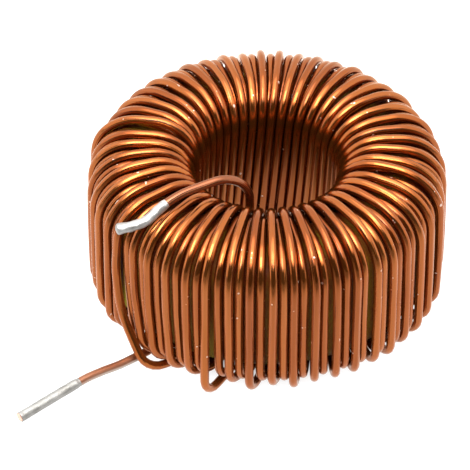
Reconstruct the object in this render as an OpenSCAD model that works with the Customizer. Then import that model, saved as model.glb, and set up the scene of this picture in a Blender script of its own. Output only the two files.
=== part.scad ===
// Toroidal inductor: a coated ring core carrying one continuous enamelled copper
// wire, wound round the ring in two passes, with both ends led out at the same
// side and dipped in solder.
// Units are millimetres. +Z is the ring's axis, pointing up. The origin is on that
// axis, at the level of the lowest turns, so the inductor lies flat on z = 0.
// Angles round the ring are in degrees from -Y, positive towards +X.

/* [Core] */
// Outside diameter of the coated core
core_od = 26.9; // [26.7:0.05:27.1]
// Inside diameter of the coated core
core_id = 14.5; // [14.4:0.05:14.7]
// Height of the coated core
core_h = 11.1; // [10.9:0.05:11.3]
// Rounding of the core's four edges
core_edge = 2.0; // [1.6:0.1:2.0]

/* [Wire] */
// Diameter of the wire over its enamel
wire_d = 0.72; // [0.64:0.01:0.72]
// Gap between the wire and what it lies on
lay_gap = 0.02; // [0.02:0.01:0.06]

/* [Winding] */
// Turns in each of the two passes round the ring
pass_turns = 50; // [46:1:50]
// Angle of the first turn
first_angle = -52; // [-53:1:-51]
// Angle from the first turn to the last one of a pass
pass_angle = 352.8; // [350:0.1:353]
// How far the wire leans in the bore, from bottom to top
bore_lean = 10.0; // [6:0.1:10]
// How far the second pass stands inside the first one in the bore
second_in = 0.77; // [0.77:0.01:0.8]
// How far the second pass stands out from the first one at the rim
second_out = 0.30; // [0.3:0.01:0.4]
// Unevenness of the turns at the rim, along the rim
rim_jitter = 0.03; // [0:0.01:0.03]

/* [Leads] */
// Length of the solder on the upper lead
upper_tip_l = 4.4; // [3:0.1:4.6]
// Length of the taper where the upper lead's solder starts
upper_taper_l = 2.4; // [1:0.1:2.6]
// Length of the solder on the lower lead
lower_tip_l = 6.0; // [4:0.1:6]
// Length of the taper where the lower lead's solder starts
lower_taper_l = 1.2; // [0.5:0.1:2]
// Thickness of the solder on the wire
solder_t = 0.05; // [0.04:0.01:0.08]

/* [Hidden] */
$fn = 64;
eps = 0.01;

wire_r = wire_d / 2;
turns = 2 * pass_turns;
pitch = pass_angle / (pass_turns - 1);
mid_z = 7.72;                                  // height of the core's mid-plane
lay = wire_r + lay_gap;                        // wire centre to what it lies on
bore_r = core_id / 2 - lay;                    // first pass, in the bore
rim_r = core_od / 2 + lay;                     // first pass, at the rim
face_h = core_h / 2 + lay;                     // first pass, above or below the mid-plane
bend_r = core_edge + lay;                      // first pass, round the core's edges
sides = 6;                                     // sides of the wire's section

// A fixed scatter between -1 and 1 for turn k, the same on every run.
function scatter(k, c) = let (v = sin(k * 127.1 + c * 311.7) * 437.5453) 2 * (v - floor(v)) - 1;
function at(r, a, z) = [r * sin(a), -r * cos(a), z];
function unit(v) = v / norm(v);

// --- Where turn k goes ---
function second(k) = k >= pass_turns;
function row(k) = second(k) ? k - pass_turns : k;
function angle(k) = first_angle + row(k) * pitch + (second(k) ? pitch / 2 : 0);
function last(k) = k == turns - 1;
function wrap(a, b) = b - 360 * round((b - a) / 360);
function rim_angle(k) = angle(k) + (last(k) ? 0 : rim_jitter * scatter(k, 1) * 180 / (PI * rim_r));
// The first turns slant over the lower half of the rim, and the last one lies across them.
function slant(k) = last(k) ? 14.2 : max(0, 8 - 0.8 * row(k) - (second(k) ? 0.15 : 0));
function in_r(k) = bore_r - (second(k) ? second_in : 0);
function out_r(k) = rim_r + (second(k) ? second_out + 0.08 * scatter(k, 2) : 0.06 * (1 + scatter(k, 2)));
function out_r_low(k) = last(k) ? rim_r + 1.04 : out_r(k);
// Heights from the mid-plane, at the bore and at the rim: the wire bows up from the
// core's upper face and lies closer under the lower one.
function top_in(k) = face_h + (second(k) ? 1.28 + 0.06 * scatter(k, 6) : 0.25);
function top_out(k) = face_h + (second(k) ? 0.8 + 0.08 * scatter(k, 3) : 0.6);
function low_in(k) = face_h + (second(k) ? 0.78 : 0);
function low_out(k) = face_h + (second(k) ? 0.56 : 0);
// Loose turns hang lower under the ring: [row in the second pass, drop at the rim, drop half way in].
LOOSE = [[4, 0.60, 0.66], [6, 0.45, 0.5], [8, 0.40, 0.45], [17, 0.3, 0.4], [20, 0.5, 0.80],
         [26, 0.3, 0.4], [33, 0.5, 0.80], [40, 0.5, 0.80], [45, 0.3, 0.4]];
function loose(k, i) = second(k) && !last(k)
    ? max([0, for (l = LOOSE) if (l[0] == row(k)) l[i]]) : 0;
mid_r = 9.5;
// The first pass ends where the second one begins, across the lower lead.
function mid_h(k) = face_h + (last(k) ? 1.37 : k == pass_turns - 1 ? 0.9 : (second(k) ? 0.62 : 0) + loose(k, 2));

function in_top(k) = at(in_r(k), angle(k), mid_z + top_in(k));
function out_top(k) = at(out_r(k), rim_angle(k), mid_z + top_out(k));
function out_mid(k) = last(k) ? at(rim_r + 0.74, rim_angle(k) + 1, mid_z + 1)
    : at(out_r(k), rim_angle(k) + 0.2 * slant(k), mid_z);
function out_low(k) = at(out_r_low(k), rim_angle(k) + slant(k),
    mid_z - (last(k) ? face_h + 1.19 : low_out(k) + loose(k, 1)));
// The wire comes back under the ring to the foot of the next turn in the bore.
function foot_angle(k) = k >= turns ? -15 : angle(k) + bore_lean;
function foot(k) = k >= turns ? at(bore_r - 1.58, foot_angle(k), mid_z - face_h - 1.47)
    : at(in_r(k), foot_angle(k), mid_z - low_in(k));
function low_mid(k) = let (a = rim_angle(k) + slant(k), b = wrap(a, foot_angle(k + 1)))
    at(mid_r, (a + b) / 2, mid_z - mid_h(k));

// --- The leads, by points chosen to suit the bends ---
upper_end = [-11.6, -10.0, mid_z + 7.0];
upper_bend = [-7.4, -7.9, mid_z + 8.1];
upper_lead = [[[-1.2, -5.24, mid_z + 7.9], 2.0], [[-4.4, -6.1, mid_z + 8.35], 0], [upper_bend, 0]];
lower_end = [-19.7, -17.0, 0.5];
lower_bend = [-14.2, -12.7, 0.75];
lower_lead = [[lower_bend, 0], [[-11.8, -11.2, 0.92], 0], [at(13.4, -44.5, 1.02), 0],
              [at(10.6, -45, 1.36), 0], [at(9.4, -44.8, mid_z - face_h), 0]];

// --- The wire's line: [corner, bend radius], and 0 for a corner that is not rounded ---
function round_in(k) = bend_r + (second(k) ? 0.85 : 0);
function round_top(k) = second(k) ? 3.8 + 0.2 * scatter(k, 4) : 2.9;
function round_low(k) = second(k) ? 1.7 + 0.2 * scatter(k, 7) : 1.7;
corners = concat(
    [[lower_end, 0]], lower_lead, [[foot(0), round_in(0)]],
    [for (k = [0 : turns - 1]) each [
        [in_top(k), round_in(k)], [out_top(k), round_top(k)], if (slant(k) > 0) [out_mid(k), 0],
        [out_low(k), round_low(k)],
        [low_mid(k), 0], [foot(k + 1), last(k) ? 3.6 : round_in(k + 1)]]],
    upper_lead, [[upper_end, 0]]);

// A rounded corner becomes two points, where the tangent half way round the bend
// meets the straight runs on either side.
function flats(i) = let (c = corners[i][0], r = corners[i][1])
    r == 0 || i == 0 || i == len(corners) - 1 ? [c]
    : let (u = unit(c - corners[i - 1][0]), v = unit(corners[i + 1][0] - c),
           turn = acos(max(-1, min(1, u * v))), q = r * (tan(turn / 2) - tan(turn / 4)))
      [c - u * q, c + v * q];
line = [for (i = [0 : len(corners) - 1]) each flats(i)];

// --- Sweep: each ring is the last one carried along its run to the mitre there ---
function run(i) = unit(line[i + 1] - line[i]);
function mitre(i) = i == len(line) - 1 ? run(i - 1) : unit(run(i - 1) + run(i));
function first_ring(u) = let (a = unit(cross(u, [0, 0, 1])), b = cross(u, a))
    [for (s = [0 : sides - 1]) line[0] + wire_r * (a * cos(s * 360 / sides) + b * sin(s * 360 / sides))];
function carried(ring, i) = let (u = run(i - 1), n = mitre(i))
    [for (p = ring) p + u * (((line[i] - p) * n) / (u * n))];
rings = [for (i = 0, ring = first_ring(run(0)); i < len(line);
              i = i + 1, ring = i < len(line) ? carried(ring, i) : ring) ring];

module swept(rings) {
    n = len(rings);
    polyhedron(
        points = [for (r = rings) each r],
        faces = concat(
            [[for (s = [sides - 1 : -1 : 0]) s]],
            [for (i = [0 : n - 2], s = [0 : sides - 1]) let (t = (s + 1) % sides)
                [i * sides + s, i * sides + t, (i + 1) * sides + t, (i + 1) * sides + s]],
            [[for (s = [0 : sides - 1]) (n - 1) * sides + s]]),
        convexity = 20);
}

// Solder on the last stretch of a lead: a thin coat that starts with a taper, runs on as
// a plain round and closes over the wire's end.
module solder_tip(end, from, length, taper) {
    u = unit(end - from);
    coat = wire_r + solder_t;
    translate(end - u * length) rotate([0, acos(u[2]), atan2(u[1], u[0])])
        difference() {
            union() {
                cylinder(r1 = wire_r + solder_t * 0.4, r2 = coat, h = taper);
                translate([0, 0, taper]) cylinder(r = coat, h = length - taper);
                translate([0, 0, length]) rotate_extrude()
                    intersection() {
                        translate([0, -0.05]) circle(r = coat);
                        square([coat, coat]);
                    }
            }
            translate([0, 0, -1]) cylinder(r = wire_r + eps / 2, h = length + 1 + eps);
        }
}

module core() {
    color([0.62, 0.60, 0.16])
        translate([0, 0, mid_z]) rotate_extrude()
            translate([(core_od + core_id) / 4, 0])
                rounded((core_od - core_id) / 2, core_h, core_edge);
}

// A rectangle about the origin with round corners.
module rounded(w, h, r) {
    union() {
        square([w - 2 * r, h], center = true);
        square([w, h - 2 * r], center = true);
        for (x = [-1, 1], y = [-1, 1])
            translate([x * (w / 2 - r), y * (h / 2 - r)]) circle(r = r);
    }
}

module winding() {
    color([0.72, 0.36, 0.14]) swept(rings);
}

module upper_solder_tip() {
    color([0.80, 0.81, 0.80]) solder_tip(upper_end, upper_bend, upper_tip_l, upper_taper_l);
}

module lower_solder_tip() {
    color([0.80, 0.81, 0.80]) solder_tip(lower_end, lower_bend, lower_tip_l, lower_taper_l);
}

core();
winding();
upper_solder_tip();
lower_solder_tip();
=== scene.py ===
import math

import bpy
import numpy as np
from mathutils import Matrix, Vector


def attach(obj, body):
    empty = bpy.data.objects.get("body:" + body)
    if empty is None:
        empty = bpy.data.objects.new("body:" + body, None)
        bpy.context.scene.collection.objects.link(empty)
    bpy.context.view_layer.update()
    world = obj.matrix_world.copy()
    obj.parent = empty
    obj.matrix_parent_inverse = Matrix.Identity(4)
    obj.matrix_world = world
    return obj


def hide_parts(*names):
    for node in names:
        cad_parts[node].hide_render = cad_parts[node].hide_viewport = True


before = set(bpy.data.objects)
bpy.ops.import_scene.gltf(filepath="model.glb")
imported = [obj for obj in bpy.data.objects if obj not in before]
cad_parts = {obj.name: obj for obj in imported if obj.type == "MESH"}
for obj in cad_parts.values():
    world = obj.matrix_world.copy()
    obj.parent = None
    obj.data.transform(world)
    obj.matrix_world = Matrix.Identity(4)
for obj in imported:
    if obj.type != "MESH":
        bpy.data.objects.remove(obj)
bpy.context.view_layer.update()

MM = 0.001

# ---------------------------------------------------------------------------------
# The wire's route, in millimetres, corner by corner as the CAD has it
# ---------------------------------------------------------------------------------
CORE_OD, CORE_ID, CORE_H, CORE_EDGE = 26.9, 14.5, 11.1, 2.0
WIRE_R, LAY_GAP, SOLDER_T = 0.36, 0.02, 0.05
PASS, FIRST, PASS_ANGLE, LEAN = 50, -52.0, 352.8, 10.0
IN2, OUT2, JITTER = 0.77, 0.30, 0.03
MID_Z = 7.72
TURNS = 2 * PASS
LAST = TURNS - 1
PITCH = PASS_ANGLE / (PASS - 1)
LAY = WIRE_R + LAY_GAP
BORE_R, RIM_R = CORE_ID / 2 - LAY, CORE_OD / 2 + LAY
FACE_H, BEND_R = CORE_H / 2 + LAY, CORE_EDGE + LAY
MID_R = 9.5
HANGING = PASS + 4                              # one loose turn hangs down to the floor
LOOSE = {4: (0.60, 0.66), 6: (0.45, 0.5), 8: (0.40, 0.45), 17: (0.3, 0.4), 20: (0.5, 0.80),
         26: (0.3, 0.4), 33: (0.5, 0.80), 40: (0.5, 0.80), 45: (0.3, 0.4)}

# Turns at the right that sag a little more: by row, at the rim and half way in.
SAG = {10: (0.15, 0.1), 11: (0.2, 0.15), 12: (0.3, 0.2), 13: (0.4, 0.3), 14: (0.5, 0.35), 15: (0.5, 0.4), 16: (0.4, 0.3)}


def scatter(k, c):
    v = math.sin(math.radians(k * 127.1 + c * 311.7)) * 437.5453
    return 2 * (v - math.floor(v)) - 1


def at(r, a, z):
    return np.array([r * math.sin(math.radians(a)), -r * math.cos(math.radians(a)), z])


def second(k):
    return k >= PASS


def row(k):
    return k - PASS if second(k) else k


def angle(k):
    return FIRST + row(k) * PITCH + (PITCH / 2 if second(k) else 0)


def wrap(a, b):
    return b - 360 * math.floor((b - a) / 360 + 0.5)


def rim_angle(k):
    return angle(k) + (0 if k == LAST else JITTER * scatter(k, 1) * 180 / (math.pi * RIM_R))


def slant(k):
    return 15.6 if k == LAST else max(0, 3 - 0.5 * row(k))


def in_r(k):
    return BORE_R - (IN2 if second(k) else 0)


def out_r(k):
    return RIM_R + (OUT2 + 0.08 * scatter(k, 2) if second(k) else 0.06 * (1 + scatter(k, 2)))


def loose(k, i):
    if k == LAST:
        return 0
    sag = SAG.get(row(k), (0, 0))[i]
    return LOOSE.get(row(k), (0, 0))[i] + sag if second(k) else 0.6 * sag


def foot_angle(k):
    return -15 if k >= TURNS else angle(k) + LEAN


def foot(k):
    if k >= TURNS:
        return at(BORE_R - 1.58, foot_angle(k), MID_Z - FACE_H - 1.47)
    return at(in_r(k), foot_angle(k), MID_Z - FACE_H - (0.78 if second(k) else 0))


def round_in(k):
    return BEND_R + (0.85 if second(k) else 0)


def turn_corners(k):
    two, last = second(k), k == LAST
    rim, low = rim_angle(k), rim_angle(k) + slant(k)
    top_in = FACE_H + (1.28 + 0.06 * scatter(k, 6) if two else 0.25)
    top_out = FACE_H + (0.8 + 0.08 * scatter(k, 3) if two else 0.6)
    low_out = FACE_H + (1.19 if last else (0.56 if two else 0.52) + loose(k, 0))
    low_out += 0.25 if k == HANGING else 0
    mid_h = FACE_H + (1.37 if last else 0.9 if k == PASS - 1 else (0.62 if two else 0) + loose(k, 1))
    mid_a = (low + wrap(low, foot_angle(k + 1))) / 2
    c = [(at(in_r(k), angle(k), MID_Z + top_in), round_in(k)),
         (at(out_r(k), rim, MID_Z + top_out), 3.8 + 0.2 * scatter(k, 4) if two else 2.9)]
    if last:
        c.append((at(RIM_R + 0.84, rim + 0.6, MID_Z + 1.2), 9.0))
        c.append((at(RIM_R + 1.06, rim + 4.2, MID_Z - 2.6), 9.0))
    elif slant(k) > 0:
        c.append((at(out_r(k), rim + 0.2 * slant(k), MID_Z), 12.0))
    c += [(at(RIM_R + 1.04 if last else out_r(k) + (0.9 if k == HANGING else 0), low, MID_Z - low_out), 1.7 + (0.2 * scatter(k, 7) if two else 0)),
          (at(MID_R, mid_a, MID_Z - mid_h), 5.0),
          (foot(k + 1), 3.6 if last else round_in(k + 1))]
    return c


UPPER_END, UPPER_BEND = np.array([-11.6, -10.0, MID_Z + 7.0]), np.array([-7.4, -7.9, MID_Z + 8.1])
LOWER_END, LOWER_BEND = np.array([-19.7, -17.0, 0.5]), np.array([-14.2, -12.7, 0.75])
LOWER_CUT = LOWER_END + 0.15 * (LOWER_BEND - LOWER_END) / np.linalg.norm(LOWER_BEND - LOWER_END)
corners = [(LOWER_CUT, 0), (LOWER_BEND + [0, 0, 0.35], 20), (np.array([-11.8, -11.2, 0.92]), 8), (at(13.4, -44.5, 1.02), 5),
           (at(10.6, -45, 1.36), 5), (at(9.4, -44.8, MID_Z - FACE_H), 3), (foot(0), round_in(0))]
owner = [-1] * len(corners)
for k in range(TURNS):
    c = turn_corners(k)
    corners += c
    owner += [k] * len(c)
corners += [(np.array([-1.35, -5.15, MID_Z + 9.04]), 3.8), (UPPER_BEND + [0, 0, 0.31], 8),
            (np.array([-9.72, -9.71, MID_Z + 7.07]), 5), (UPPER_END - [0, 0, 0.15], 0)]
owner += [TURNS] * 4


def smooth_line(corners, owner):
    """The corners joined by straight runs and round bends, and the turn each point belongs to."""
    pts, own = [corners[0][0]], [owner[0]]
    for i in range(1, len(corners) - 1):
        c, r = corners[i]
        a, b = corners[i - 1][0], corners[i + 1][0]
        u, v = (c - a) / np.linalg.norm(c - a), (b - c) / np.linalg.norm(b - c)
        turn = math.acos(max(-1, min(1, float(u @ v))))
        if turn < 1e-4 or r == 0:
            pts.append(c)
            own.append(owner[i])
            continue
        t = min(r * math.tan(turn / 2), 0.49 * np.linalg.norm(c - a), 0.49 * np.linalg.norm(b - c))
        r = t / math.tan(turn / 2)
        n = v - u * float(u @ v)
        n /= np.linalg.norm(n)
        centre = c - u * t + n * r
        steps = max(2, int(math.degrees(turn) / 5))
        for s in range(steps + 1):
            f = turn * s / steps
            pts.append(centre - n * r * math.cos(f) + u * r * math.sin(f))
            own.append(owner[i])
    pts.append(corners[-1][0])
    own.append(owner[-1])
    return np.array(pts), np.array(own)


def resample(pts, own, step):
    seg = np.linalg.norm(np.diff(pts, axis=0), axis=1)
    s = np.r_[0, np.cumsum(seg)]
    n = int(round(s[-1] / step))
    t = np.linspace(0, s[-1], n + 1)
    out = np.stack([np.interp(t, s, pts[:, i]) for i in range(3)], axis=1)
    idx = np.clip(np.searchsorted(s, t, side="right") - 1, 0, len(own) - 1)
    return out, own[idx], t


line, line_own = smooth_line(corners, owner)
P0, turn_of, along = resample(line, line_own, 0.485)
print("wire points", len(P0), "length mm", round(float(along[-1]), 1))


# ---------------------------------------------------------------------------------
# Hand-wound unevenness: each turn wanders a little, then wires that touch push apart
# ---------------------------------------------------------------------------------
def core_gap(P):
    """Distance from the core's surface, and the direction away from it."""
    rho = np.hypot(P[:, 0], P[:, 1])
    radial = P.copy()
    radial[:, 2] = 0
    radial /= np.maximum(rho, 1e-9)[:, None]
    x, z = rho - (CORE_OD + CORE_ID) / 4, P[:, 2] - MID_Z
    w, h = (CORE_OD - CORE_ID) / 4 - CORE_EDGE, CORE_H / 2 - CORE_EDGE
    qx, qz = np.abs(x) - w, np.abs(z) - h
    ax, az = np.maximum(qx, 0), np.maximum(qz, 0)
    inside = np.minimum(np.maximum(qx, qz), 0)
    d = np.hypot(ax, az)
    gap = d + inside - CORE_EDGE
    gx = np.where(d > 1e-9, ax / np.maximum(d, 1e-9), (qx >= qz)) * np.sign(x)
    gz = np.where(d > 1e-9, az / np.maximum(d, 1e-9), (qx < qz)) * np.sign(z)
    n = radial * gx[:, None]
    n[:, 2] = gz
    return gap, n


def per_turn(c):
    table = {int(k): scatter(int(k), c) for k in np.unique(turn_of)}
    return np.array([table[int(k)] for k in turn_of])


# How far a turn strays, in millimetres, at places round the section: the rim's middle, then
# the shoulder, the crest, the upper edge of the bore, and so on round to the lower edge of the rim.
ROUND = np.radians([0, 45, 90, 135, 180, 225, 270, 315])
ALONG_RIM = [0.20, 0.22, 0.16, 0.06, 0.03, 0.05, 0.12, 0.20]
OUTWARDS_1 = [0.03, 0.05, 0.05, 0.0, 0.0, 0.0, 0.0, 0.02]
OUTWARDS_2 = [0.08, 0.15, 0.13, 0.05, 0.0, 0.0, 0.0, 0.10]
# Places where the turns bow apart half way up the rim: the angle, and how far.
BOWS = [(-50.2, 0.30), (-35.8, 0.42), (-28.6, 0.26), (-17.8, 0.32), (0.2, 0.03), (14.6, 0.05), (21.8, 0.14),
        (36.2, 0.62), (43.4, 0.20), (57.8, 0.18), (75, 0.26), (101, 0.24), (128, 0.34), (158, 0.22), (190, 0.30),
        (223, 0.24), (251, 0.34), (280, 0.26)]
# Turns that cross over their neighbours on top: how far along the rim, and how far out, at the same places.
CROSSINGS = {92: ([0.8, 0.9, -0.2, -0.9, -0.3, 0.0, 0.0, 0.3], [0.25, 0.50, 0.60, 0.70, 0.50, 0.0, 0.0, 0.10]),
             74: ([-0.2, -0.15, 0.2, 0.5, 0.2, 0.0, 0.0, -0.1], [0.15, 0.30, 0.40, 0.50, 0.30, 0.0, 0.0, 0.05]),
             67: ([0.5, 0.5, -0.1, -0.7, -0.2, 0.0, 0.0, 0.2], [0.20, 0.40, 0.50, 0.55, 0.35, 0.0, 0.0, 0.10])}
# The two turns next to the first of these leave a gap there.
BESIDE = (43, 93)
BESIDE_ALONG = [0.1, 0.35, 0.40, 0.25, 0.0, 0.0, 0.0, 0.0]


def section_angle(P):
    rho = np.hypot(P[:, 0], P[:, 1])
    return np.arctan2((P[:, 2] - MID_Z) / 6.6, (rho - 10.35) / 4.1) % (2 * math.pi)


def blended(phi, table):
    """A smooth value between those that table gives at the places in ROUND; one row per point."""
    x = phi / (math.pi / 4)
    i = np.floor(x).astype(int) % 8
    f = x - np.floor(x)
    f = f * f * (3 - 2 * f)
    r = np.arange(len(phi))
    return table[r, i] * (1 - f) + table[r, (i + 1) % 8] * f


def wander(P):
    rho = np.hypot(P[:, 0], P[:, 1])
    phi = section_angle(P)
    gap, n = core_gap(P)
    tang = np.stack([-P[:, 1], P[:, 0], 0 * rho], axis=1) / np.maximum(rho, 1e-9)[:, None]
    free = (turn_of >= 0) & (turn_of < LAST)
    two = (turn_of >= PASS)[:, None]
    stray = np.stack([per_turn(40 + c) for c in range(8)], axis=1) * np.array(ALONG_RIM)
    rise = np.stack([per_turn(60 + c) for c in range(8)], axis=1) * np.where(two, np.array(OUTWARDS_2), np.array(OUTWARDS_1))
    for k, (sideways, outwards) in CROSSINGS.items():
        stray[turn_of == k] = sideways
        rise[turn_of == k] = outwards
    stray[np.isin(turn_of, BESIDE)] = BESIDE_ALONG
    side, lift = blended(phi, stray), blended(phi, rise)
    # stiff wire doesn't lie flat on the rim: it bellies out below the shoulder
    belly = np.clip(1 - ((P[:, 2] - MID_Z + 1.8) / 6.2) ** 2, 0, 1) ** 2 * np.clip((rho - 11.5) / 1.5, 0, 1)
    lift += belly * np.where(two[:, 0], 0.50 + 0.12 * per_turn(70), 0.22 + 0.10 * per_turn(71))
    az = np.degrees(np.arctan2(P[:, 0], -P[:, 1]))
    # at the back the turns lie more evenly, and their shoulders stand higher
    behind = np.clip((np.abs(az) - 115) / 30, 0, 1)
    side *= 1 - 0.7 * behind
    side += behind * blended(phi, np.tile([0.45, 0.40, 0.0, 0.0, 0.0, 0.0, 0.0, 0.2], (len(phi), 1)))
    side -= np.where(two[:, 0], 0, 0.07) * np.clip((rho - 11.5) / 1.5, 0, 1) * (1 - behind)
    lift += behind * np.where(two[:, 0], 0.16, 0.30) * np.exp(-((np.degrees(phi) - 58) / 34) ** 2)
    height = np.clip(1 - ((P[:, 2] - MID_Z + 0.6) / 6.2) ** 2, 0, 1) ** 1.5 * np.clip((rho - 11.5) / 1.5, 0, 1)
    for place, far in BOWS:
        d = (az - place + 180) % 360 - 180
        side += far * np.tanh(d / 0.9) * np.exp(-np.abs(d) / 5.5) * height
    d = tang * side[:, None] + n * lift[:, None]
    d[~free] = 0
    # ease in and out, so that the wire stays one smooth line from turn to turn
    kern = np.hanning(9)
    kern /= kern.sum()
    for i in range(3):
        d[:, i] = np.convolve(d[:, i], kern, mode="same")
    return d


def near_pairs(P, reach):
    cell = np.floor(P / reach).astype(np.int64)
    cell -= cell.min(axis=0) - 1
    dims = cell.max(axis=0) + 2
    key = (cell[:, 0] * dims[1] + cell[:, 1]) * dims[2] + cell[:, 2]
    sort = np.argsort(key, kind="stable")
    ks = key[sort]
    ii, jj = [], []
    for dx in (-1, 0, 1):
        for dy in (-1, 0, 1):
            for dz in (-1, 0, 1):
                off = (dx * dims[1] + dy) * dims[2] + dz
                lo = np.searchsorted(ks, key + off, side="left")
                cnt = np.searchsorted(ks, key + off, side="right") - lo
                i = np.repeat(np.arange(len(P)), cnt)
                within = np.arange(len(i)) - np.repeat(np.cumsum(cnt) - cnt, cnt)
                j = sort[np.repeat(lo, cnt) + within]
                keep = j > i + 6
                i, j = i[keep], j[keep]
                near = ((P[i] - P[j]) ** 2).sum(1) < reach ** 2
                ii.append(i[near])
                jj.append(j[near])
    return np.concatenate(ii), np.concatenate(jj)


def settle(P0, D, rounds=220, want=0.73):
    P = P0 + D
    free = ((turn_of >= 0) & (turn_of < TURNS)).astype(float)[:, None]
    ease = np.where(np.isin(turn_of, (*CROSSINGS, *BESIDE)), 1.0, 0.998)[:, None]
    for it in range(rounds):
        if it % 10 == 0:
            pi, pj = near_pairs(P, 1.3)
        d = P[pi] - P[pj]
        dist = np.sqrt((d ** 2).sum(1))
        short = np.clip(want - dist, 0, None)
        hit = short > 0
        push = d[hit] / np.maximum(dist[hit], 1e-6)[:, None] * (short[hit] * 0.5)[:, None]
        move = np.zeros_like(P)
        np.add.at(move, pi[hit], push)
        np.add.at(move, pj[hit], -push)
        size = np.linalg.norm(move, axis=1)
        move *= np.minimum(1, 0.12 / np.maximum(size, 1e-9))[:, None]
        P = P + move * free * 0.8
        gap, nrm = core_gap(P)
        P += nrm * np.clip(LAY - gap, 0, None)[:, None] * free
        D = P - P0
        # smooth the wandering, not the route itself
        D[1:-1] = 0.5 * D[1:-1] + 0.25 * (D[:-2] + D[2:])
        D *= ease
        D[:, 2] = np.maximum(D[:, 2], WIRE_R + 0.01 - P0[:, 2])
        P = P0 + D
    return P, int(hit.sum()), float(short.max())


P, hits, worst = settle(P0, wander(P0))
print("pairs still close", hits, "worst mm", round(worst, 3), "moved mm", round(float(np.abs(P - P0).max()), 3))


# ---------------------------------------------------------------------------------
# Meshes
# ---------------------------------------------------------------------------------
def frames(P):
    """Tangents and a pair of normals carried along without twist."""
    T = np.empty_like(P)
    T[1:-1] = P[2:] - P[:-2]
    T[0], T[-1] = P[1] - P[0], P[-1] - P[-2]
    T /= np.linalg.norm(T, axis=1)[:, None]
    N = np.empty_like(P)
    a = np.cross(T[0], [0, 0, 1.0])
    N[0] = a / np.linalg.norm(a)
    for i in range(1, len(P)):
        v = N[i - 1] - T[i] * (N[i - 1] @ T[i])
        N[i] = v / np.linalg.norm(v)
    return T, N, np.cross(T, N)


def tube(name, P, radius, sides):
    """A closed tube about the points P (mm); the radius is one number, or one per ring and side."""
    T, N, B = frames(P)
    n = len(P)
    r = np.broadcast_to(radius, (n, sides))
    a = np.arange(sides) * 2 * math.pi / sides
    V = P[:, None] + r[:, :, None] * (N[:, None] * np.cos(a)[None, :, None] + B[:, None] * np.sin(a)[None, :, None])
    i = np.arange(n - 1)[:, None] * sides
    s = np.arange(sides)[None, :]
    t = (s + 1) % sides
    faces = np.stack([i + s, i + t, i + sides + t, i + sides + s], axis=2).reshape(-1, 4).tolist()
    faces += [list(range(sides - 1, -1, -1)), [(n - 1) * sides + x for x in range(sides)]]
    me = bpy.data.meshes.new(name)
    me.from_pydata((V.reshape(-1, 3) * MM).tolist(), [], faces)
    me.update()
    me.polygons.foreach_set("use_smooth", [len(f) == 4 for f in faces])
    ob = bpy.data.objects.new(name, me)
    bpy.context.scene.collection.objects.link(ob)
    return ob


def keep(ob, name, kind, values):
    att = ob.data.attributes.new(name, kind, "POINT")
    att.data.foreach_set("value" if kind == "FLOAT" else "vector", np.asarray(values, float).ravel())


SIDES = 12
wire = tube("winding_wire", P, WIRE_R, SIDES)
tone = per_turn(31) * 0.5 + 0.5
tone[turn_of == TURNS] = -0.4                   # the upper lead is browner than the turns
keep(wire, "turn_tone", "FLOAT", np.repeat(tone, SIDES))
# a place on the wire: along it, and round it, in millimetres
a = np.arange(SIDES) * 2 * math.pi / SIDES
on_wire = np.empty((len(P), SIDES, 3))
on_wire[:, :, 0] = along[:, None]
on_wire[:, :, 1] = WIRE_R * np.cos(a)
on_wire[:, :, 2] = WIRE_R * np.sin(a)
keep(wire, "on_wire", "FLOAT_VECTOR", on_wire)
bare = np.zeros((len(P), SIDES))
bare[0] = 1
keep(wire, "cut_face", "FLOAT", bare)
# the rim's outside, where the metal and enamel coat shine less, and the wires' edges get a painted sheen: lighter
# where seen edge on, a painted reflection of the bright floor
rho = np.hypot(P[:, 0], P[:, 1])
keep(wire, "outer_side", "FLOAT", np.repeat(np.clip((rho - 12.2) / 1.2, 0, 1) * np.clip((13.2 - P[:, 2]) / 2.4, 0, 1), SIDES))
# the leads are dull from the soldering; along the lower one's underside, on the side facing down and towards the
# front, a pale strip is partly a thin film of solder and partly a painted reflection of the bright floor
T, N, B = frames(P)
dull = np.where(turn_of == TURNS, 0.45 * np.clip((P[:, 2] - 13.0) / 1.5, 0, 1), 0)
dull = np.where((turn_of < 0) & (along < 30), np.clip((rho - 13.2) / 1.2, 0, 1), dull)
keep(wire, "dull_lead", "FLOAT", np.repeat(dull, SIDES))
out = np.cos(a)[None, :, None] * N[:, None] + np.sin(a)[None, :, None] * B[:, None]
under = np.clip((out @ np.array([-0.20, -0.86, -0.47]) - 0.45) / 0.22, 0, 1)
keep(wire, "solder_and_floor_sheen", "FLOAT", under * (np.where(turn_of < 0, 1, 0) * np.clip((rho - 14.0) / 1.0, 0, 1))[:, None])
keep(wire, "round_wire", "FLOAT_VECTOR", np.cos(a)[None, :, None] * B[:, None] - np.sin(a)[None, :, None] * N[:, None])


def wire_end(length, first):
    """The wire's line over its last stretch, ending at the wire's end."""
    Q = P[::-1] if first else P
    t = np.r_[0, np.cumsum(np.linalg.norm(np.diff(Q, axis=0), axis=1))]
    want = np.linspace(t[-1] - length, t[-1], 96)
    return np.stack([np.interp(want, t, Q[:, i]) for i in range(3)], axis=1)


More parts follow.
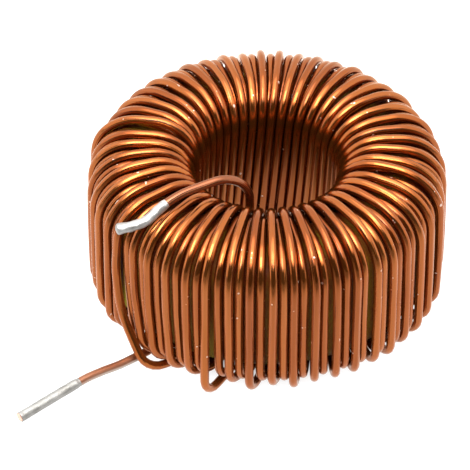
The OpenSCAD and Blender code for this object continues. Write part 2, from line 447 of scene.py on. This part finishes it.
def solder(name, path, seed, flare, over, lumps):
    """Solder on a lead's end: an uneven coat, ragged where it starts. It runs over the wire's end, or was cut with it."""
    rng = np.random.default_rng(seed)
    length = float(np.linalg.norm(np.diff(path, axis=0), axis=1).sum())
    u = path[-1] - path[-3]
    u /= np.linalg.norm(u)
    cap = np.linspace(0.02, 0.26, 14) if over else np.array([])
    pts = np.concatenate([path, path[-1] + u * cap[:, None]]) if over else path[:-1]
    sides = 28
    dist = np.r_[0, np.cumsum(np.linalg.norm(np.diff(pts, axis=0), axis=1))]
    a = np.arange(sides) * 2 * math.pi / sides
    coat = WIRE_R + SOLDER_T * np.clip(dist / 0.35, 0.12, 1)
    shape = coat[:, None] * np.ones((1, sides))
    for f in range(8):
        m, q = rng.integers(1, 4), rng.uniform(1.5, 7.0)
        shape += lumps * np.sin(m * a[None, :] + rng.uniform(0, 6.28)) * np.sin(q * dist[:, None] + rng.uniform(0, 6.28))
    shape += (flare * np.exp(-((dist - length + 0.08) / 0.30) ** 2))[:, None]
    edge = 0.12 + 0.10 * np.sin(2 * a + 1.1) + 0.06 * np.sin(3 * a + 0.4)
    thin = np.clip((dist[:, None] - edge[None, :]) / 0.12, 0, 1)
    shape = (WIRE_R + 0.004) + np.maximum(shape - WIRE_R - 0.004, 0.006) * thin
    if over:
        back = np.clip((dist - length) / 0.26, 0, 1)
        shape *= np.sqrt(np.clip(1 - 0.97 * back ** 2.4, 0.004, 1))[:, None]
    return tube(name, pts, shape, sides)


upper = solder("upper_solder", wire_end(4.4, False), 5, 0.055, True, 0.009)
lower = solder("lower_solder", wire_end(5.9, True), 9, 0.015, False, 0.003)

for ob, node, slot in ((wire, "winding", "enamelled_copper"), (upper, "upper_solder_tip", "solder"),
                       (lower, "lower_solder_tip", "solder")):
    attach(ob, "root")
    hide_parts(node)


# ---------------------------------------------------------------------------------
# Materials
# ---------------------------------------------------------------------------------
class Nodes:
    def __init__(self, name):
        self.mat = bpy.data.materials.new(name)
        self.mat.use_nodes = True
        self.tree = self.mat.node_tree
        self.tree.nodes.clear()

    def add(self, kind, **values):
        n = self.tree.nodes.new(kind)
        for key, v in values.items():
            setattr(n, key, v)
        return n

    def link(self, a, b):
        self.tree.links.new(a, b)

    def noise(self, vec, scale, detail=3.0, rough=0.55):
        n = self.add("ShaderNodeTexNoise")
        n.inputs["Scale"].default_value = scale
        n.inputs["Detail"].default_value = detail
        n.inputs["Roughness"].default_value = rough
        self.link(vec, n.inputs["Vector"])
        return n.outputs["Fac"]

    def stretch(self, vec, scale):
        n = self.add("ShaderNodeMapping")
        n.inputs["Scale"].default_value = scale
        self.link(vec, n.inputs["Vector"])
        return n.outputs["Vector"]

    def ramp(self, fac, stops):
        n = self.add("ShaderNodeValToRGB")
        el = n.color_ramp.elements
        while len(el) < len(stops):
            el.new(0.5)
        for e, (p, c) in zip(el, stops):
            e.position = p
            e.color = (*c, 1)
        self.link(fac, n.inputs["Fac"])
        return n.outputs["Color"]

    def math(self, op, a, b):
        n = self.add("ShaderNodeMath", operation=op)
        for i, v in enumerate((a, b)):
            if isinstance(v, (int, float)):
                n.inputs[i].default_value = v
            else:
                self.link(v, n.inputs[i])
        return n.outputs[0]

    def mix(self, fac, a, b):
        n = self.add("ShaderNodeMix", data_type="RGBA")
        for sock, v in ((n.inputs["Factor"], fac), (n.inputs[6], a), (n.inputs[7], b)):
            if isinstance(v, tuple):
                sock.default_value = (*v, 1)
            else:
                self.link(v, sock)
        return n.outputs[2]

    def bump(self, height, strength, distance):
        n = self.add("ShaderNodeBump")
        n.inputs["Strength"].default_value = strength
        n.inputs["Distance"].default_value = distance
        self.link(height, n.inputs["Height"])
        return n.outputs["Normal"]

    def finish(self, bsdf):
        out = self.add("ShaderNodeOutputMaterial")
        self.link(bsdf.outputs[0], out.inputs["Surface"])
        return self.mat


def copper_material():
    m = Nodes("enamelled_copper")
    place = m.add("ShaderNodeAttribute", attribute_name="on_wire").outputs["Vector"]
    tone = m.add("ShaderNodeAttribute", attribute_name="turn_tone").outputs["Fac"]
    patch = m.noise(m.stretch(place, (0.12, 1.2, 1.2)), 1.0, 2.0)
    streak = m.noise(m.stretch(place, (0.35, 9.0, 9.0)), 1.0, 3.0, 0.6)
    grain = m.noise(place, 9.0, 3.0, 0.6)
    lines = m.noise(m.stretch(place, (0.15, 5.5, 5.5)), 1.0, 1.0, 0.4)
    blend = m.math("ADD", m.math("MULTIPLY", tone, 0.35), m.math("ADD", m.math("MULTIPLY", patch, 0.35), m.math("MULTIPLY", streak, 0.3)))
    base = m.ramp(blend, [(0.25, (0.190, 0.041, 0.005)), (0.5, (0.255, 0.065, 0.010)), (0.78, (0.305, 0.089, 0.017))])
    # painted shade: the wire's colour is darkened and reddened in the crevices between neighbouring turns
    open_to = m.add("ShaderNodeAmbientOcclusion", samples=8, only_local=True)
    open_to.inputs["Distance"].default_value = 0.0008
    painted_groove_shade = m.ramp(open_to.outputs["AO"], [(0.20, (1, 1, 1)), (0.75, (0, 0, 0))])
    base = m.mix(m.math("MULTIPLY", painted_groove_shade, 0.40), base, (0.200, 0.024, 0.002))
    speck = m.ramp(m.noise(place, 2.2, 1.0, 0.3), [(0.775, (0, 0, 0)), (0.80, (1, 1, 1))])
    base = m.mix(m.math("MULTIPLY", speck, 0.7), base, (0.72, 0.58, 0.50))
    # painted sheen: on the rim's outside the wires' edges are lightened where seen edge on, a painted reflection of
    # the bright floor
    rim = m.ramp(m.add("ShaderNodeLayerWeight").outputs["Facing"], [(0.25, (0, 0, 0)), (0.70, (1, 1, 1))])
    outer_side = m.add("ShaderNodeAttribute", attribute_name="outer_side").outputs["Fac"]
    base = m.mix(m.math("MULTIPLY", m.math("MULTIPLY", rim, outer_side), 0.7), base, (0.35, 0.080, 0.013))
    lead = m.add("ShaderNodeAttribute", attribute_name="dull_lead").outputs["Fac"]
    base = m.mix(m.math("MULTIPLY", lead, 0.85), base, (0.200, 0.088, 0.050))
    # partly a solder film, partly a painted reflection of the bright floor on the lower lead's underside
    pale_strip = m.math("MULTIPLY", m.add("ShaderNodeAttribute", attribute_name="solder_and_floor_sheen").outputs["Fac"], m.ramp(streak, [(0.35, (0.5, 0.5, 0.5)), (0.6, (1, 1, 1))]))
    base = m.mix(pale_strip, base, (0.42, 0.39, 0.35))
    base = m.mix(m.add("ShaderNodeAttribute", attribute_name="cut_face").outputs["Fac"], base, (0.80, 0.46, 0.36))
    b = m.add("ShaderNodeBsdfPrincipled")
    m.link(base, b.inputs["Base Color"])
    m.link(m.math("ADD", m.math("MULTIPLY", lead, 0.25), m.math("ADD", m.math("MULTIPLY", streak, 0.14), m.math("ADD", m.math("MULTIPLY", speck, 0.3), 0.09))), b.inputs["Roughness"])
    # drawn copper: the shine spreads round the wire more than along it
    m.link(m.add("ShaderNodeAttribute", attribute_name="round_wire").outputs["Vector"], b.inputs["Tangent"])
    b.inputs["Anisotropic"].default_value = 0.5
    m.link(m.bump(m.math("ADD", m.math("MULTIPLY", grain, 0.05), lines), 0.7, 0.00010), b.inputs["Normal"])
    # the enamel clouds the metal where it is seen edge on
    facing = m.add("ShaderNodeLayerWeight").outputs["Facing"]
    m.link(m.math("SUBTRACT", 0.93, m.math("MULTIPLY", m.math("MULTIPLY", facing, outer_side), 0.46)), b.inputs["Metallic"])
    b.inputs["IOR"].default_value = 1.55
    b.inputs["Specular Tint"].default_value = (0.95, 0.80, 0.65, 1)
    m.link(m.math("SUBTRACT", 0.26, m.math("MULTIPLY", outer_side, 0.10)), b.inputs["Coat Weight"])
    b.inputs["Coat Roughness"].default_value = 0.08
    b.inputs["Coat IOR"].default_value = 1.5
    return m.finish(b)


def solder_material(name, dark, mid, light):
    m = Nodes(name)
    pos = m.add("ShaderNodeTexCoord").outputs["Object"]
    big = m.noise(pos, 900.0, 4.0)
    fine = m.noise(pos, 5200.0, 4.0, 0.65)
    base = m.ramp(big, [(0.25, dark), (0.5, mid), (0.8, light)])
    b = m.add("ShaderNodeBsdfPrincipled")
    m.link(base, b.inputs["Base Color"])
    m.link(m.math("ADD", m.math("MULTIPLY", big, 0.30), 0.34), b.inputs["Roughness"])
    m.link(m.bump(m.math("ADD", big, m.math("MULTIPLY", fine, 0.4)), 0.5, 0.00012), b.inputs["Normal"])
    b.inputs["Metallic"].default_value = 0.92
    return m.finish(b)


def core_material():
    m = Nodes("core_coat")
    pos = m.add("ShaderNodeTexCoord").outputs["Object"]
    big = m.noise(pos, 420.0, 4.0)
    fine = m.noise(pos, 3200.0, 4.0, 0.65)
    base = m.ramp(big, [(0.25, (0.215, 0.170, 0.012)), (0.55, (0.315, 0.255, 0.018)), (0.85, (0.395, 0.330, 0.030))])
    # painted shade: the coat is darkened nearly to black in the narrow gaps between the turns
    open_to = m.add("ShaderNodeAmbientOcclusion", samples=8)
    open_to.inputs["Distance"].default_value = 0.0015
    closed = m.ramp(open_to.outputs["AO"], [(0.34, (1, 1, 1)), (0.54, (0, 0, 0))])
    base = m.mix(closed, base, (0.085, 0.010, 0.002))
    b = m.add("ShaderNodeBsdfPrincipled")
    m.link(base, b.inputs["Base Color"])
    m.link(m.math("ADD", m.math("MULTIPLY", fine, 0.25), 0.40), b.inputs["Roughness"])
    m.link(m.bump(m.math("ADD", big, m.math("MULTIPLY", fine, 0.5)), 0.35, 0.00015), b.inputs["Normal"])
    b.inputs["Specular IOR Level"].default_value = 0.08
    return m.finish(b)


def floor_material():
    m = Nodes("floor_white")
    pos = m.add("ShaderNodeTexCoord").outputs["Object"]
    base = m.ramp(m.noise(pos, 6.0, 2.0), [(0.3, (0.25, 0.25, 0.25)), (0.7, (0.27, 0.27, 0.27))])
    axes = m.add("ShaderNodeSeparateXYZ")
    m.link(pos, axes.inputs[0])
    lit = m.add("ShaderNodeMapRange", interpolation_type="SMOOTHSTEP")
    for name, v in (("From Min", -0.062), ("From Max", -0.012), ("To Min", 0.0), ("To Max", 1.0)):
        lit.inputs[name].default_value = v
    m.link(axes.outputs["Y"], lit.inputs["Value"])
    b = m.add("ShaderNodeBsdfPrincipled")
    m.link(m.mix(lit.outputs["Result"], (0.11, 0.11, 0.11), base), b.inputs["Base Color"])
    b.inputs["Roughness"].default_value = 0.9
    b.inputs["Specular IOR Level"].default_value = 0.1
    b.inputs["Emission Color"].default_value = (1, 1, 1, 1)
    # a light table: the sheet glows, but not where the ring covers it, which leaves painted shade under the ring, and
    # it ends some way towards the viewer
    far = m.add("ShaderNodeVectorMath", operation="LENGTH")
    m.link(pos, far.inputs[0])
    glow = m.add("ShaderNodeMapRange", interpolation_type="SMOOTHSTEP")
    for name, v in (("From Min", 0.0085), ("From Max", 0.0125), ("To Min", 0.0), ("To Max", 0.92)):
        glow.inputs[name].default_value = v
    m.link(far.outputs["Value"], glow.inputs["Value"])
    hole = m.add("ShaderNodeMapRange", interpolation_type="SMOOTHSTEP")
    for name, v in (("From Min", 0.0060), ("From Max", 0.0075), ("To Min", 0.8), ("To Max", 0.0)):
        hole.inputs[name].default_value = v
    m.link(far.outputs["Value"], hole.inputs["Value"])
    # in the hole the near side lies in the ring's shade
    shade = m.add("ShaderNodeMapRange", interpolation_type="SMOOTHSTEP")
    for name, v in (("From Min", -0.0050), ("From Max", 0.0005), ("To Min", 0.0), ("To Max", 1.0)):
        shade.inputs[name].default_value = v
    m.link(axes.outputs["Y"], shade.inputs["Value"])
    inside = m.math("MULTIPLY", hole.outputs["Result"], shade.outputs["Result"])
    m.link(m.math("MULTIPLY", m.math("ADD", glow.outputs["Result"], inside), lit.outputs["Result"]), b.inputs["Emission Strength"])
    return m.finish(b)


def paint(ob, mat):
    ob.data.materials.clear()
    ob.data.materials.append(mat)


paint(wire, copper_material())
# the same solder on both tips: the lower tip's copy is painted darker, as painted shade
paint(upper, solder_material("solder_upper", (0.19, 0.175, 0.155), (0.33, 0.32, 0.305), (0.46, 0.46, 0.45)))
paint(lower, solder_material("solder_lower", (0.14, 0.13, 0.115), (0.24, 0.235, 0.22), (0.34, 0.335, 0.32)))
paint(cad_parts["core"], core_material())

# ---------------------------------------------------------------------------------
# Stage, light and camera
# ---------------------------------------------------------------------------------
scene = bpy.context.scene
scene.view_settings.view_transform = "Standard"
scene.view_settings.look = "None"

me = bpy.data.meshes.new("floor")
S = 1.2
me.from_pydata([(-S, -S, 0), (S, -S, 0), (S, S, 0), (-S, S, 0)], [], [(0, 1, 2, 3)])
floor = bpy.data.objects.new("floor", me)
scene.collection.objects.link(floor)
paint(floor, floor_material())

def tent(radiance, lean, front, overhead):
    """A white tent all round, a little brighter at the left, with its dark opening low at the front."""
    world = bpy.data.worlds.new("studio")
    scene.world = world
    world.use_nodes = True
    tree = world.node_tree
    way = tree.nodes.new("ShaderNodeSeparateXYZ")
    tree.links.new(tree.nodes.new("ShaderNodeTexCoord").outputs["Generated"], way.inputs[0])

    def step(sock, lo, hi, a, b):
        n = tree.nodes.new("ShaderNodeMapRange")
        n.interpolation_type = "SMOOTHSTEP"
        for name, v in (("From Min", lo), ("From Max", hi), ("To Min", a), ("To Max", b)):
            n.inputs[name].default_value = v
        tree.links.new(sock, n.inputs["Value"])
        return n.outputs["Result"]

    def times(a, b):
        n = tree.nodes.new("ShaderNodeMath")
        n.operation = "MULTIPLY"
        tree.links.new(a, n.inputs[0])
        tree.links.new(b, n.inputs[1])
        return n.outputs[0]

    opening = times(step(way.outputs["Y"], -0.62, -0.30, 1.0, 0.0), step(way.outputs["Z"], 0.60, 0.72, 1.0, 0.0))
    light = times(step(opening, 0.0, 1.0, radiance, front), step(way.outputs["X"], -1.0, 1.0, 1.0 + lean, 1.0 - lean))
    light = times(light, step(way.outputs["Y"], 0.2, 0.9, 1.0, 0.86))
    # a wide overhead light with soft edges
    toward = tree.nodes.new("ShaderNodeVectorMath")
    toward.operation = "DOT_PRODUCT"
    tree.links.new(way.inputs[0].links[0].from_socket, toward.inputs[0])
    toward.inputs[1].default_value = OVERHEAD
    total = tree.nodes.new("ShaderNodeMath")
    total.operation = "ADD"
    tree.links.new(light, total.inputs[0])
    tree.links.new(step(toward.outputs["Value"], math.cos(math.radians(44)), math.cos(math.radians(14)), 0.0, overhead), total.inputs[1])
    light = total.outputs[0]
    back = tree.nodes["Background"]
    back.inputs["Color"].default_value = (1, 1, 1, 1)
    tree.links.new(light, back.inputs["Strength"])


OVERHEAD = (-0.05, -0.20, 0.98)
tent(2.4, 0.04, 0.06, 4.5)


def softbox(name, az, el, dist, w, h, radiance, target=(0, 0, 0.008)):
    """A square of even light: its place by angles round the object, and its brightness against the floor's 1."""
    light = bpy.data.lights.new(name, "AREA")
    light.shape = "RECTANGLE"
    light.size, light.size_y = w, h
    light.energy = radiance * math.pi * w * h
    ob = bpy.data.objects.new(name, light)
    scene.collection.objects.link(ob)
    a, e = math.radians(az), math.radians(el)
    d = Vector((math.sin(a) * math.cos(e), -math.cos(a) * math.cos(e), math.sin(e)))
    ob.location = Vector(target) + d * dist
    ob.rotation_euler = d.to_track_quat("Z", "Y").to_euler()
    return ob


softbox("key", -15, 63, 0.50, 0.30, 0.24, 10.0)

R = 14.55 * MM
EL = math.radians(41.4)
centre = Vector((0, 0, MID_Z * MM))
back = Vector((0, -math.cos(EL), math.sin(EL)))
up = Vector((0, math.sin(EL), math.cos(EL)))
right = Vector((1, 0, 0))
cam_data = bpy.data.cameras.new("camera")
cam_data.sensor_width = 36
cam_data.lens = 272.4
cam_data.clip_start, cam_data.clip_end = 0.01, 10
cam = bpy.data.objects.new("camera", cam_data)
scene.collection.objects.link(cam)
scene.camera = cam
where = centre + back * (20 * R)
aim = centre - right * (31.5 / 177.8 * R) - up * (24.0 / 177.8 * R)
z = (where - aim).normalized()
x = Vector((0, 0, 1)).cross(z).normalized()
y = z.cross(x)
cam.matrix_world = Matrix(((x.x, y.x, z.x, where.x), (x.y, y.y, z.y, where.y), (x.z, y.z, z.z, where.z), (0, 0, 0, 1)))
